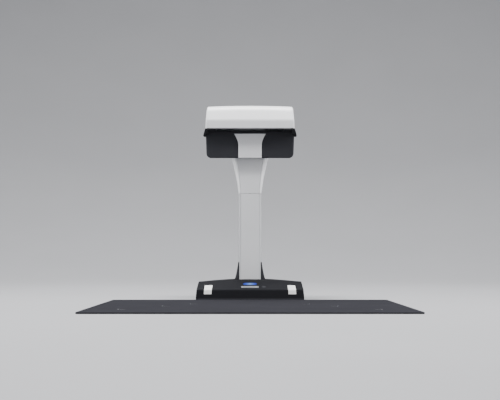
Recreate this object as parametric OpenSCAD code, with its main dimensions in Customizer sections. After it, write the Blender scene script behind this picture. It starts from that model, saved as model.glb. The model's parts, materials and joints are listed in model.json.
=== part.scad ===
// Overhead book scanner: a weighted base with two keys, a column, a head whose
// scan carriage sweeps the desk in front of it, and the mat that the book lies on.
// X is across, Y runs away from the reader, Z is up. The origin is the bottom centre.

/* [Mat] */
// Width of the background mat
mat_w = 528; // [480:1:560]
// Depth of the background mat
mat_d = 366; // [330:1:400]
// Thickness of the mat's printed top sheet
sheet_t = 0.8; // [0.6:0.1:1.2]
// Thickness of the mat's non-slip backing
backing_t = 1.8; // [1.4:0.1:2.2]

/* [Base] */
// Width of the base
base_w = 210; // [204:1:220]
// Depth of the base
base_d = 156; // [152:1:162]
// Height of the base's crest
base_h = 39; // [38:0.5:41]
// Height at which the sloping panel meets the front face
front_h = 22; // [21:0.5:23]
// Slope of the front panel in degrees
slope = 19.3; // [18:0.1:20]
// Wall thickness of the moulded covers
wall = 2.2; // [2:0.1:2.6]

/* [Keys] */
// Width of the scan key
scan_key_w = 34; // [30:1:36]
// Length of the scan key along the slope
scan_key_l = 8; // [7:0.5:10]
// Diameter of the stop key
stop_key_d = 9; // [8:0.5:10]
// Travel of both keys
key_travel = 0.8; // [0.5:0.1:0.9]

/* [Column] */
// Width of the column's rear cover
column_w = 48; // [46:0.5:50]
// Distance from the base's front to the column's front face
column_y = 98; // [96:0.5:99]
// Height of the seam between column and neck
seam_z = 215; // [205:1:225]

/* [Head] */
// Overall height of the scanner
total_h = 383; // [381:0.5:386]
// Width of the head's top cover at its lip
head_w = 176; // [174:0.5:179]
// Height of the head's forward underside
lip_z = 336; // [335:0.5:336]
// Height of the housing's underside at its front
head_z = 283.5; // [280:0.5:290]
// Rise of the housing's underside towards the rear in degrees
head_rise = 7; // [6.5:0.1:8]
// Distance from the lip back to the housing's front face
housing_y = 55; // [55:0.5:56]

/* [Sweep] */
// Distance of the carriage axis behind the lip
axis_y = 32; // [31:0.5:32]
// Height of the carriage axis
axis_z = 358; // [357.5:0.5:358]
// Module of the gears
gear_m = 0.5; // [0.5:0.01:0.5]
// Teeth on a full turn of the drive sector
sector_n = 72; // [72:1:72]
// Teeth on the idler's small gear
idler_small_n = 18; // [18:1:18]
// Teeth on the idler's large gear
idler_large_n = 48; // [48:1:48]
// Teeth on the motor pinion
pinion_n = 16; // [16:1:16]

/* [Hidden] */

scanner_y = (mat_d - base_d) / 2;
mat_gap = 0.5;
tray_z = 2;
cover_z = 5;
crest_r = 60;
crown_drop = 3;
edge_r = 2.5;
crown_half = base_w / 2 - edge_r;
crown_r = (crown_half * crown_half + crown_drop * crown_drop) / (2 * crown_drop);
front_r = 3;
rear_r = 8;
column_a = 20.2;
column_rear_y = column_y + 38;
column_rear_r = 10;
column_round = 11;
neck_top = head_z + 5;
slot_gap = 0.2;
column_foot_z = 33;
panel_t = 2.2;
panel_gap = 0.15;
boot_h = 35;
boot_flare = 8;
plate_t = 1.5;
frame_x = 72;
screw_d = 3;
screw_head_d = 5.5;
foot_x = 88;
foot_ys = [16, 128];
foot_d = 16;
ballast_t = 8;
standoff_xs = [34, 78];
standoff_ys = [66, 132];
spine_x = 13;
spine_y = [104, 130];
spine_screw_x = 19;
board_t = 1.6;
key_gap = 0.3;
key_flange = 1.2;
key_proud = 0.9;
flange_z = -wall - 0.3;
scan_key_y = 8.5;
key_middle = scan_key_y + scan_key_l / 2;
stop_key_x = 27;
light_w = 26.6;
light_l = 10.4;
light_y = 24.4;
reference_x = 82.4;
reference_w = 15;
reference_t = 0.8;
reference_l = 23.5;
reference_drop = 9;
head_rear_y = base_d - 5;
head_rear_r = 16;
housing_half = head_w / 2 + 1.5;
housing_r = 5;
housing_corner_r = 9;
taper = 3.5;
bonnet_r = 3.4;
bonnet_front_r = 16;
bonnet_rear_r = 20;
crease_h = 14;
chin_x = 23.3;
chin_top = lip_z - 3.5;
chin_flare = 8.7;
chin_flare_h = 22;
wing_drop = 9;
head_screw_x = 78;
head_screw_ys = [90, 138];
head_board_z = 322;
window_y = 9;
window_l = 40;
lens_window_w = 80;
lamp_window_w = 28;
lamp_x = 54.5;
lamp_w = 21;
pin_d = 5;
pin_gap = 0.04;
bush_d = 8;
sector_x = 74.5;
gear_t = 3;
large_x = sector_x + gear_t + 1;
sector_r = gear_m * sector_n / 2;
idler_reach = gear_m * (sector_n + idler_small_n) / 2;
motor_reach = gear_m * (idler_large_n + pinion_n) / 2;
motor_dir = -15;
idler_y = axis_y + idler_reach;
motor_y = idler_y + motor_reach * cos(motor_dir);
motor_z = axis_z + motor_reach * sin(motor_dir);
motor_d = 25;
motor_l = 15;
flange_r = 15;
flange_angles = [30, 210];
post_d = 3;
shaft_d = 2;
usb_x = 48;
inlet_x = 74;
inlet_z = 26;
board_z = 18;
vent_pitch = 3.6;
vent_w = 1.6;

// Phase of each gear, so that a tooth faces a gap along each line of centres
idler_small_phase = 180 - 360 / idler_small_n * 0.5;
idler_large_phase = idler_small_phase;
pinion_phase = motor_dir + 180
    - 360 / pinion_n * (0.5 - (motor_dir - idler_large_phase) / (360 / idler_large_n));

// ---------- Points and placing ----------

function arc(c, r, a0, a1, n = 8) =
    [for (k = [0:n]) let (a = a0 + (a1 - a0) * k / n) c + r * [cos(a), sin(a)]];
function mirrored(points) =
    [for (k = [len(points) - 1:-1:0]) [-points[k][0], points[k][1]]];

module scanner() {
    translate([0, scanner_y, 0])
        children();
}

// A profile of depth and height, extruded across the scanner from x0 to x1
module across(x0, x1) {
    translate([x0, 0, 0])
        rotate([90, 0, 90])
            linear_extrude(x1 - x0)
                children();
}

// A profile of width and height, extruded from y0 to y1
module along(y0, y1) {
    translate([0, y1, 0])
        rotate([90, 0, 0])
            linear_extrude(y1 - y0)
                children();
}

module box(x0, x1, y0, y1, z0, z1) {
    translate([x0, y0, z0])
        cube([x1 - x0, y1 - y0, z1 - z0]);
}

module rod(x0, x1, y, z, d, fn = 48) {
    translate([x0, y, z])
        rotate([0, 90, 0])
            cylinder(h = x1 - x0, d = d, $fn = fn);
}

module post(x, y, z0, z1, d, fn = 48) {
    translate([x, y, z0])
        cylinder(h = z1 - z0, d = d, $fn = fn);
}

// Rounded rectangle in plan, with exact corner arcs
module rounded_plan(w, y0, y1, r) {
    translate([-w / 2, y0 + r])
        square([w, y1 - y0 - 2 * r]);
    translate([-w / 2 + r, y0])
        square([w - 2 * r, y1 - y0]);
    for (x = [-w / 2 + r, w / 2 - r], y = [y0 + r, y1 - r])
        translate([x, y])
            circle(r, $fn = 48);
}

// The sloping front panel's own frame: y runs up the slope, z is its normal
module on_slope() {
    translate([0, 0, front_h])
        rotate([slope, 0, 0])
            children();
}

// The carriage's own frame, with its axis at the origin
module on_axis() {
    translate([0, axis_y, axis_z])
        children();
}

module both_sides() {
    children();
    mirror([1, 0, 0])
        children();
}

// A solid through rings of points that all have the same count
module loft(rings) {
    n = len(rings[0]);
    m = len(rings);
    points = [for (ring = rings) each ring];
    sides = [for (j = [0:m - 2], k = [0:n - 1])
        [j * n + k, (j + 1) * n + k, (j + 1) * n + (k + 1) % n, j * n + (k + 1) % n]];
    polyhedron(points, concat(
        [[for (k = [0:n - 1]) k]],
        sides,
        [[for (k = [n - 1:-1:0]) (m - 1) * n + k]]
    ));
}

// A screw that points up, its head's underside at z
module screw_up(x, y, z, l) {
    post(x, y, z - 2, z, screw_head_d);
    post(x, y, z, z + l, screw_d);
}

// ---------- Gears ----------

function inv(a) = tan(a) * 180 / PI - a;
function half_tooth(r, rb, h) = h + inv(20) - (r > rb ? inv(acos(rb / r)) : 0);
function tooth(n, k, phase, steps = 4) =
    let (
        rp = gear_m * n / 2,
        rb = rp * cos(20),
        ra = rp + gear_m * 0.9,
        rr = rp - gear_m * 1.25,
        h = 90 / n - 0.05 / rp * 180 / PI,
        c = phase + 360 / n * k,
        r0 = max(rb, rr),
        radii = [rr, for (s = [0:steps]) r0 + (ra - r0) * s / steps]
    )
    concat(
        [for (s = [0:steps + 1])
            radii[s] * [cos(c - half_tooth(radii[s], rb, h)), sin(c - half_tooth(radii[s], rb, h))]],
        [for (s = [steps + 1:-1:0])
            radii[s] * [cos(c + half_tooth(radii[s], rb, h)), sin(c + half_tooth(radii[s], rb, h))]]
    );

module gear_profile(n, phase) {
    polygon([for (k = [0:n - 1]) each tooth(n, k, phase)]);
}

// ---------- Base ----------

module base_side_profile(i) {
    h = base_h - i;
    f = front_h - i / cos(slope);
    r = crest_r - i;
    crest_y = r * sin(slope) + (h - r * (1 - cos(slope)) - f) / tan(slope);
    fillet_z = front_h + front_r * tan(slope) - front_r / cos(slope);
    polygon(concat(
        [[i, tray_z], [base_d - i, tray_z]],
        arc([base_d - rear_r, base_h - rear_r], rear_r - i, 0, 90),
        arc([crest_y, h - r], r, 90, 90 + slope, 6),
        arc([front_r, fillet_z], front_r - i, 90 + slope, 180, 5)
    ));
}

module base_front_profile(i) {
    corner = arc([base_w / 2 - edge_r, base_h - crown_drop - edge_r], edge_r - i, 0, 86, 6);
    reach = asin((crown_half - 1) / crown_r);
    crown = arc([0, base_h - crown_r], crown_r - i, 90 - reach, 90 + reach, 20);
    polygon(concat(
        [[-base_w / 2 + i, tray_z], [base_w / 2 - i, tray_z]],
        corner,
        crown,
        mirrored(corner)
    ));
}

module base_solid(i) {
    intersection() {
        across(-base_w / 2, base_w / 2)
            base_side_profile(i);
        along(0, base_d)
            base_front_profile(i);
        linear_extrude(base_h + 1)
            rounded_plan(base_w - 2 * i, i, base_d - i, 6 - i);
    }
}

module foot_places() {
    for (x = [-foot_x, foot_x], y = foot_ys)
        translate([x, y, 0])
            children();
}

module standoff_places() {
    for (x = standoff_xs, y = standoff_ys)
        translate([x, y, 0])
            children();
}

module base_screw_places() {
    for (x = [-92, 92], y = [50, 140])
        translate([x, y, 0])
            children();
}

// Outline of a thin band that wraps from the front face over the edge and up the slope
function band_edge(i) =
    let (
        fillet = [front_r, front_h + front_r * tan(slope) - front_r / cos(slope)],
        end = [0, front_h] + reference_l * [cos(slope), sin(slope)]
    )
    concat(
        [[i, front_h - reference_drop]],
        arc(fillet, front_r - i, 180, 90 + slope, 5),
        [end - i * [-sin(slope), cos(slope)]]
    );

// The reference patch, or the pocket that it lies in when it reaches above the surface
module reference_shape(above = 0) {
    inner = band_edge(reference_t);
    across(-reference_w / 2, reference_w / 2)
        polygon(concat(band_edge(-above), [for (k = [len(inner) - 1:-1:0]) inner[k]]));
}

module key_openings() {
    on_slope() {
        box(-scan_key_w / 2 - key_gap, scan_key_w / 2 + key_gap,
            scan_key_y - key_gap, scan_key_y + scan_key_l + key_gap, -wall - 1, 1);
        post(stop_key_x, key_middle, -wall - 1, 1, stop_key_d + 2 * key_gap);
        box(-light_w / 2, light_w / 2, light_y, light_y + light_l, -wall - 1, 1);
    }
}

module base_cover() {
    color("#3b3b3f")
        scanner()
            difference() {
                union() {
                    difference() {
                        base_solid(0);
                        base_solid(wall);
                        box(-base_w, base_w, -1, base_d + 1, -1, cover_z);
                    }
                    intersection() {
                        base_solid(0.5);
                        base_screw_places()
                            post(0, 0, cover_z + 4, base_h, 8);
                    }
                }
                base_screw_places()
                    post(0, 0, 0, base_h - 10, screw_d);
                for (x = [-reference_x, reference_x])
                    translate([x, 0, 0])
                        reference_shape(above = 1);
                key_openings();
                box(-column_w / 2 - slot_gap, column_w / 2 + slot_gap, column_y - slot_gap,
                    column_rear_y + slot_gap, base_h - 10, base_h + 1);
                box(usb_x - 6.1, usb_x + 6.1, base_d - 5, base_d + 1, 19.4, 30.6);
                translate([inlet_x, base_d + 1, inlet_z])
                    rotate([90, 0, 0])
                        cylinder(h = 6, d = 9.2, $fn = 48);
                box(-80, -73, base_d - 5, base_d + 1, 14, 17);
                for (x = [-60:vent_pitch:-27])
                    box(x, x + vent_w, base_d - 5, base_d + 1, 12, 24);
            }
}

module base_tray() {
    color("#2d2d30")
        scanner()
            difference() {
                union() {
                    intersection() {
                        base_solid(0);
                        box(-base_w, base_w, -1, base_d + 1, tray_z, cover_z);
                    }
                    translate([0, 0, cover_z])
                        linear_extrude(3)
                            difference() {
                                rounded_plan(base_w - 2 * wall - 0.4, wall + 0.2, base_d - wall - 0.2, 3.6);
                                rounded_plan(base_w - 2 * wall - 4, wall + 2, base_d - wall - 2, 1.8);
                            }
                    base_screw_places()
                        post(0, 0, cover_z, cover_z + 4, 8);
                }
                base_screw_places() {
                    post(0, 0, 0, cover_z + 5, screw_d + 0.4);
                    post(0, 0, 0, tray_z + 2.2, screw_head_d + 0.5);
                }
                foot_places()
                    post(0, 0, 0, tray_z + 1, foot_d);
            }
}

module ballast_plate() {
    color("#8a8c90")
        scanner()
            difference() {
                union() {
                    box(-82, 82, 58, 148, cover_z, cover_z + ballast_t);
                    box(-60, 60, 26, 58, cover_z, cover_z + ballast_t);
                }
                spine_screw_places(cover_z - 1, cover_z + ballast_t + 1);
                standoff_places()
                    post(0, 0, cover_z - 1, cover_z + ballast_t + 1, screw_d);
            }
}

module rubber_feet() {
    color("#1c1c1e")
        scanner()
            foot_places()
                post(0, 0, 0, tray_z + 1, foot_d);
}

module base_screws() {
    color("#77797c")
        scanner()
            base_screw_places()
                screw_up(0, 0, tray_z + 2.2, 14);
}

module white_reference(x) {
    color("#e9e9e6")
        scanner()
            translate([x, 0, 0])
                reference_shape();
}

module white_reference_left() {
    white_reference(-reference_x);
}

module white_reference_right() {
    white_reference(reference_x);
}

module status_light() {
    color("#3f8fe8")
        scanner()
            on_slope() {
                box(-light_w / 2, light_w / 2, light_y, light_y + light_l, -wall, 0.25);
                box(-light_w / 2 - 1, light_w / 2 + 1,
                    light_y - 1, light_y + light_l + 1, -wall - 1.2, -wall);
            }
}

module scan_key() {
    color("#b9babd")
        scanner()
            on_slope() {
                box(-scan_key_w / 2, scan_key_w / 2,
                    scan_key_y, scan_key_y + scan_key_l, flange_z, key_proud);
                box(-scan_key_w / 2 - key_flange, scan_key_w / 2 + key_flange,
                    scan_key_y - key_flange, scan_key_y + scan_key_l + key_flange, flange_z - 1, flange_z);
            }
}

module stop_key() {
    color("#55565a")
        scanner()
            on_slope()
                translate([stop_key_x, key_middle, 0]) {
                    post(0, 0, flange_z, key_proud, stop_key_d);
                    post(0, 0, flange_z - 1, flange_z, stop_key_d + 2 * key_flange);
                }
}

// Board under the keys, with each switch's plunger drawn at its pressed height
module key_board() {
    top = flange_z - 1 - key_travel - 0.1;
    color("#2f6b45")
        scanner()
            on_slope() {
                box(-24, 38, scan_key_y - 1, 33, top - 4 - board_t, top - 4);
                for (x = [-10, 10, stop_key_x]) {
                    box(x - 3, x + 3, key_middle - 3, key_middle + 3, top - 4, top - 1);
                    post(x, key_middle, top - 1, top, 3);
                }
                for (x = [-8, 0, 8])
                    box(x - 1.5, x + 1.5, light_y + 2, light_y + 5, top - 4, top - 3);
            }
}

module main_board() {
    color("#2f6b45")
        scanner()
            difference() {
                union() {
                    box(29, 84, 60, 146, board_z, board_z + board_t);
                    box(36, 56, 84, 104, board_z + board_t, board_z + 3);
                    box(62, 74, 90, 102, board_z + board_t, board_z + 2.8);
                    box(60, 78, 70, 80, board_z + board_t, board_z + 8);
                    for (x = [36, 44, 52])
                        post(x, 72, board_z + board_t, board_z + 10, 6.3);
                }
                standoff_places()
                    post(0, 0, board_z - 1, board_z + 3, screw_d);
            }
}

module board_standoffs() {
    color("#b9995a")
        scanner()
            standoff_places() {
                post(0, 0, cover_z + ballast_t, board_z, screw_head_d - 0.5);
                post(0, 0, cover_z + 2, board_z + board_t, screw_d);
                post(0, 0, board_z + board_t, board_z + 3.4, screw_head_d);
            }
}

module usb_socket() {
    color("#c4c6c8")
        scanner()
            difference() {
                box(usb_x - 6, usb_x + 6, base_d - 19, base_d - 1, board_z + board_t, board_z + 12.4);
                difference() {
                    box(usb_x - 5.2, usb_x + 5.2, base_d - 10, base_d, board_z + 2.4, board_z + 11.6);
                    box(usb_x - 2.8, usb_x + 2.8, base_d - 10, base_d - 2, board_z + 5.6, board_z + 8.6);
                }
            }
}

module power_inlet() {
    color("#1a1a1c")
        scanner()
            difference() {
                union() {
                    box(inlet_x - 5, inlet_x + 5, base_d - 16, base_d - 4, board_z + board_t, inlet_z + 6);
                    translate([inlet_x, base_d - 0.5, inlet_z])
                        rotate([90, 0, 0])
                            cylinder(h = 3.5, d = 9, $fn = 48);
                }
                translate([inlet_x, base_d, inlet_z])
                    rotate([90, 0, 0])
                        difference() {
                            cylinder(h = 11, d = 5.6, $fn = 48);
                            cylinder(h = 11, d = 1.95, $fn = 24);
                        }
            }
}

// ---------- Column ----------

// Plan outline of the column and neck: a narrow front face a, full half-width b
function column_outline(a, b, y0, y1, i = 0) =
    let (
        front_x = a - i * 0.4,
        reach = b - i - front_x,
        front = [for (q = [0:18:90])
            [front_x + reach * sin(q), y0 + i + column_round * (1 - cos(q))]],
        rear = arc([b - column_rear_r, y1 - column_rear_r], column_rear_r - i, 0, 90, 6),
        right = concat(front, rear)
    )
    concat(right, mirrored(right));

// A front panel between two heights, as wide as the flat of the outline less a gap
module panel_shape(z0, z1, gap, y0, y1) {
    edge = [for (k = [0:12]) let (z = z0 + (z1 - z0) * k / 12) [neck_a(z) - gap, z]];
    along(y0, y1)
        polygon(concat(edge, mirrored(edge)));
}

module column_plan(i) {
    polygon(column_outline(column_a, column_w / 2, column_y, column_rear_y, i));
}

module column_front_cover() {
    color("#c4c5c8")
        scanner() {
            panel_shape(column_foot_z, seam_z - 0.3, panel_gap, column_y, column_y + panel_t);
            for (x = [-16, 16], z = [50, 120, 190])
                box(x - 1.5, x + 1.5, column_y + panel_t, column_y + 5, z - 8, z + 8);
        }
}

module column_rear_cover() {
    color("#e2e3e4")
        scanner()
            difference() {
                translate([0, 0, column_foot_z])
                    linear_extrude(seam_z - column_foot_z)
                        difference() {
                            column_plan(0);
                            column_plan(2);
                        }
                box(-column_a, column_a, 0, column_y + panel_t + 1, 0, seam_z + 1);
            }
}

// Dark boot that braces the column's foot, with a concave fin on each side and behind
module column_boot() {
    half = column_w / 2;
    fin = [for (k = [0:8]) let (t = k / 8) [half + 0.3 + boot_flare * pow(1 - t, 2.2), base_h + boot_h * t]];
    back = [for (p = fin) [p[0] - half + column_rear_y + 0.3, p[1]]];
    color("#333337")
        scanner()
            difference() {
                intersection() {
                    along(column_y + 4, base_d)
                        polygon(concat(fin, mirrored(fin)));
                    across(-half - 20, half + 20)
                        polygon(concat(
                            [[column_y + 1, base_h - 1], [column_rear_y + boot_flare, base_h - 1]],
                            back,
                            [[column_y + 1, base_h + boot_h]]
                        ));
                }
                box(-half - slot_gap / 2, half + slot_gap / 2, 0, column_rear_y + slot_gap / 2, 0, 100);
            }
}

module spine_screw_places(z0, z1, d = screw_d) {
    for (x = [-spine_screw_x, spine_screw_x], y = spine_y)
        post(x, y, z0, z1, d);
}

module column_spine() {
    z0 = cover_z + ballast_t;
    z1 = lip_z + 2;
    color("#a9abae")
        scanner()
            difference() {
                union() {
                    difference() {
                        box(-spine_x, spine_x, spine_y[0], spine_y[1], z0, z1);
                        box(-spine_x + 2, spine_x - 2, spine_y[0] - 1, spine_y[1] - 2, z0 - 1, z1 + 1);
                    }
                    box(-24, 24, 99, 135, z0, z0 + 2.5);
                    box(-24, 24, 99, 135, z1 - 2.5, z1);
                }
                spine_screw_places(z0 - 1, z0 + 4);
                spine_screw_places(z1 - 4, z1 + 1);
                box(-9, 9, 108, 124, z1 - 4, z1 + 1);
                box(spine_x - 3, spine_x + 1, 108, 120, z0 + 8, z0 + 27);
            }
}

module spine_screws() {
    color("#5f6164")
        scanner() {
            spine_screw_places(cover_z + 1, cover_z + 10.5);
            spine_screw_places(cover_z + 10.5, cover_z + 12.5, screw_head_d);
            spine_screw_places(lip_z - 4, lip_z + 4);
            spine_screw_places(lip_z + 4, lip_z + 6, screw_head_d);
        }
}

// The harness runs from the main board up inside the spine to the head's board
harness_d = 5;
harness_points = [
    [33, 112, 22.6], [27, 112, 24], [20, 112, 26.5], [13, 113, 29], [7, 114, 33], [3, 115, 40],
    [0, 116, 50], [0, 117, 100], [0, 117, 160], [0, 117, 220], [0, 117, 280], [0, 117, 300],
    [0, 116, 309], [0, 112, 315], [0, 106, 317.5], [0, 100, 318]
];

function unit(v) = v / norm(v);
function tangent(p, k) = unit(p[min(k + 1, len(p) - 1)] - p[max(k - 1, 0)]);
function tube_ring(p, k, d, n) =
    let (
        t = tangent(p, k),
        u = unit(cross(t, abs(t[0]) > 0.9 ? [0, 1, 0] : [1, 0, 0])),
        v = cross(t, u)
    )
    [for (j = [0:n - 1]) p[k] + d / 2 * (cos(-360 * j / n) * u + sin(-360 * j / n) * v)];

module wire_harness() {
    color("#222224")
        scanner()
            loft([for (k = [0:len(harness_points) - 1]) tube_ring(harness_points, k, harness_d, 8)]);
}

// ---------- Neck ----------

function neck_t(z) = max(0, (z - seam_z) / (neck_top - seam_z));
function neck_a(z) = column_a + 8.4 * pow(neck_t(z), 1.85);
function neck_b(z) = column_w / 2 + 13.7 * pow(neck_t(z), 1.35);
function neck_rear(z) = column_rear_y + 8 * pow(neck_t(z), 1.8);
function neck_ring(z, i) =
    [for (p = column_outline(neck_a(z), neck_b(z), column_y, neck_rear(z), i)) [p[0], p[1], z]];

module neck_solid(i, z0, z1) {
    steps = 14;
    loft([for (k = [0:steps]) neck_ring(z0 + (z1 - z0) * k / steps, i)]);
}

// Everything above the head's rising underside
module above_neck() {
    on_underside()
        box(-base_w, base_w, 0, base_d + 60, head_z, head_z + 60);
}

module neck_shell() {
    color("#e6e7e8")
        scanner()
            difference() {
                neck_solid(0, seam_z, neck_top + 8);
                neck_solid(wall, seam_z - 0.01, neck_top + 8.01);
                panel_shape(seam_z - 1, neck_top + 9, 0, 0, column_y + panel_t + 1);
                above_neck();
            }
}

module neck_front_panel() {
    color("#c4c5c8")
        scanner()
            difference() {
                union() {
                    panel_shape(seam_z, neck_top + 2, panel_gap, column_y, column_y + panel_t);
                    for (x = [-14, 14])
                        box(x - 1.5, x + 1.5, column_y + panel_t, column_y + 5, seam_z + 8, head_z - 8);
                }
                above_neck();
            }
}

// ---------- Head ----------

module bonnet_side_profile(i) {
    polygon(concat(
        [[4 + i, lip_z], [head_rear_y - i, lip_z]],
        arc([head_rear_y - bonnet_rear_r, total_h - bonnet_rear_r - 6], bonnet_rear_r - i, 0, 86),
        [[head_rear_y - 60, total_h - 3 - i], [head_rear_y - 100, total_h - i]],
        arc([bonnet_front_r + 0.8, total_h - bonnet_front_r], bonnet_front_r - i, 90, 165),
        [[0.4 + i, lip_z + crease_h + 1], [0.8 + i, lip_z + crease_h - 1]]
    ));
}

module bonnet_front_profile(i) {
    half = head_w / 2;
    corner = arc([half - taper - bonnet_r, total_h - bonnet_r - 2.2], bonnet_r - i, -4, 84, 6);
    polygon(concat(
        [[-half + i, lip_z], [half - i, lip_z]],
        corner,
        [for (k = [8:-1:-8]) let (x = (half - 12) * k / 8) [x, total_h - i - 2 * pow(x / half, 2)]],
        mirrored(corner)
    ));
}

module bonnet_solid(i) {
    intersection() {
        across(-head_w / 2, head_w / 2)
            bonnet_side_profile(i);
        along(0, head_rear_y)
            bonnet_front_profile(i);
    }
}

module head_screw_places() {
    for (x = [-head_screw_x, head_screw_x], y = head_screw_ys)
        translate([x, y, 0])
            children();
}

module head_top_cover() {
    color("#ececec")
        scanner()
            difference() {
                union() {
                    difference() {
                        bonnet_solid(0);
                        bonnet_solid(wall);
                    }
                    intersection() {
                        bonnet_solid(0.5);
                        head_screw_places()
                            post(0, 0, lip_z + 8, total_h, 7);
                    }
                }
                head_screw_places()
                    post(0, 0, lip_z + 1, lip_z + 26, screw_d);
            }
}

// The frame of the housing's underside, which rises towards the rear
module on_underside() {
    translate([0, housing_y + housing_r, head_z + housing_r])
        rotate([head_rise, 0, 0])
            translate([0, -housing_y - housing_r, -head_z - housing_r])
                children();
}

module housing_side_profile(i) {
    front = [housing_y + housing_r, head_z + housing_r];
    run = head_rear_y - head_rear_r - front[0];
    rear = front + [run, run * tan(head_rise) + (head_rear_r - housing_r) / cos(head_rise)];
    polygon(concat(
        [[head_rear_y - i, lip_z], [housing_y + i, lip_z]],
        arc(front, housing_r - i, 180, 270 + head_rise, 6),
        arc(rear, head_rear_r - i, 270 + head_rise, 360)
    ));
}

module housing_front_profile(i) {
    low_z = head_z - 0.05;
    corner = arc([housing_half - 2 - housing_corner_r, low_z + housing_corner_r],
        housing_corner_r - i, 270, 357, 8);
    polygon(concat(
        [[housing_half - i, lip_z + 1], [-housing_half + i, lip_z + 1]],
        mirrored(corner),
        corner
    ));
}

module housing_solid(i) {
    intersection() {
        across(-head_w, head_w)
            housing_side_profile(i);
        on_underside()
            along(0, head_rear_y + 20)
                housing_front_profile(i);
    }
}

module head_housing() {
    color("#2c2d31")
        scanner()
            difference() {
                union() {
                    difference() {
                        housing_solid(0);
                        housing_solid(wall);
                    }
                    intersection() {
                        housing_solid(0.5);
                        both_sides()
                            for (y = head_screw_ys)
                                box(frame_x, housing_half - 1, y - 6, y + 6, lip_z - 5, lip_z);
                    }
                }
                head_screw_places() {
                    post(0, 0, lip_z - 6, lip_z + 1, screw_d + 0.4);
                    post(0, 0, head_z - 1, head_z + 22, 7);
                }
                box(-25, 25, column_y + 0.5, column_rear_y, head_z - 1, head_z + 16);
                chin_shape();
                for (x = [-44:8:44])
                    box(x - 1.5, x + 1.5, head_rear_y - 4, head_rear_y + 1, lip_z - 22, lip_z - 8);
            }
}

// Light panel on the housing's front, wide at the top and waisted below
module chin_shape() {
    right = concat(
        [[chin_x, head_z + 0.5], [chin_x, chin_top - chin_flare_h]],
        [for (t = [0.125:0.125:1])
            [chin_x + chin_flare * pow(t, 1.6), chin_top - chin_flare_h * (1 - t)]]
    );
    along(housing_y - 1.2, housing_y + 1)
        polygon(concat(right, mirrored(right)));
}

module chin_panel() {
    color("#c1c2c5")
        scanner()
            chin_shape();
}

module window_cuts(grow) {
    for (x = [-lamp_x, 0, lamp_x]) {
        w = (x == 0 ? lens_window_w : lamp_window_w) / 2 + grow;
        box(x - w, x + w, window_y - grow, window_y + window_l + grow, lip_z - 1, lip_z + 3);
    }
}

module window_bezel() {
    inner = head_w / 2 - wall - 0.4;
    edge = head_w / 2;
    color("#232427")
        scanner()
            difference() {
                union() {
                    box(-inner, inner, 4 + wall + 0.4, housing_y + 2, lip_z, lip_z + 2.5);
                    both_sides() {
                        hull() {
                            box(inner - 2, edge - 0.5, 5, 6, lip_z - 0.5, lip_z);
                            box(inner - 2, edge + 6, housing_y - 6, housing_y,
                                lip_z - wing_drop, lip_z - wing_drop + 0.5);
                            box(inner - 2, edge + 5, housing_y - 6, housing_y, lip_z - 1, lip_z);
                        }
                        hull() {
                            box(housing_half, edge + 6, housing_y - 0.1, housing_y,
                                lip_z - wing_drop, lip_z - wing_drop + 0.5);
                            box(housing_half, edge + 5, housing_y - 0.1, housing_y, lip_z - 1, lip_z);
                            box(housing_half, edge + 2, 125, 126, lip_z - 1, lip_z);
                        }
                    }
                }
                window_cuts(0);
            }
}

module pane(x, w) {
    color("#5c6a72")
        scanner()
            box(x - w / 2, x + w / 2, window_y, window_y + window_l, lip_z + 0.6, lip_z + 2);
}

module lens_window() {
    pane(0, lens_window_w);
}

module lamp_window_left() {
    pane(-lamp_x, lamp_window_w);
}

module lamp_window_right() {
    pane(lamp_x, lamp_window_w);
}

// Folded sheet chassis: a floor over the housing and two cheeks beside the carriage
module head_frame() {
    z0 = lip_z + 2.5;
    cheek_top = 371;
    color("#9ea0a3")
        scanner()
            difference() {
                union() {
                    box(-frame_x - plate_t, frame_x + plate_t,
                        housing_y + 2.5, 140, z0 - 0.5, z0 + plate_t - 0.5);
                    for (x = [-frame_x - plate_t, frame_x])
                        across(x, x + plate_t)
                            polygon([
                                [22, z0 + 2], [26, z0], [housing_y + 2.5, z0],
                                [housing_y + 2.5, z0 - 0.5], [140, z0 - 0.5], [140, z0 + 12],
                                [95, cheek_top], [28, cheek_top], [22, cheek_top - 6]
                            ]);
                }
                for (x = [-frame_x - plate_t - 1, frame_x - 1])
                    rod(x, x + plate_t + 2, axis_y, axis_z, bush_d);
                rod(frame_x - 1, frame_x + plate_t + 1, idler_y, axis_z, post_d);
                rod(frame_x - 1, frame_x + plate_t + 1, motor_y, motor_z, 7);
                for (a = flange_angles)
                    rod(frame_x - 1, frame_x + plate_t + 1,
                        motor_y + flange_r * cos(a), motor_z + flange_r * sin(a), shaft_d);
                spine_screw_places(z0 - 2, z0 + 4);
                box(-9, 9, 108, 124, z0 - 2, z0 + 4);
            }
}

module head_board() {
    top = head_board_z + board_t;
    color("#2f6b45")
        scanner() {
            box(-58, 58, 62, 98, head_board_z, top);
            box(-20, 4, 70, 90, top, top + 1.8);
            box(22, 46, 68, 92, top, top + 5.4);
            box(-50, -38, 66, 94, top, top + 6.4);
            box(-8, 8, 92, 98, head_board_z - 6, head_board_z);
            for (x = [-52, 52], y = [66, 94])
                post(x, y, top, lip_z + 2, 5);
        }
}

module head_screws() {
    color("#77797c")
        scanner()
            head_screw_places()
                screw_up(0, 0, lip_z - 5, 28);
}

// Flanged bushings pressed into the cheeks
module pivot_bushings() {
    color("#b8923f")
        scanner()
            both_sides()
                difference() {
                    union() {
                        rod(frame_x, frame_x + plate_t, axis_y, axis_z, bush_d);
                        rod(frame_x - 0.8, frame_x, axis_y, axis_z, bush_d + 3);
                    }
                    rod(frame_x - 2, frame_x + 4, axis_y, axis_z, pin_d + 2 * pin_gap);
                }
}

// ---------- Sweeping carriage ----------

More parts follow.
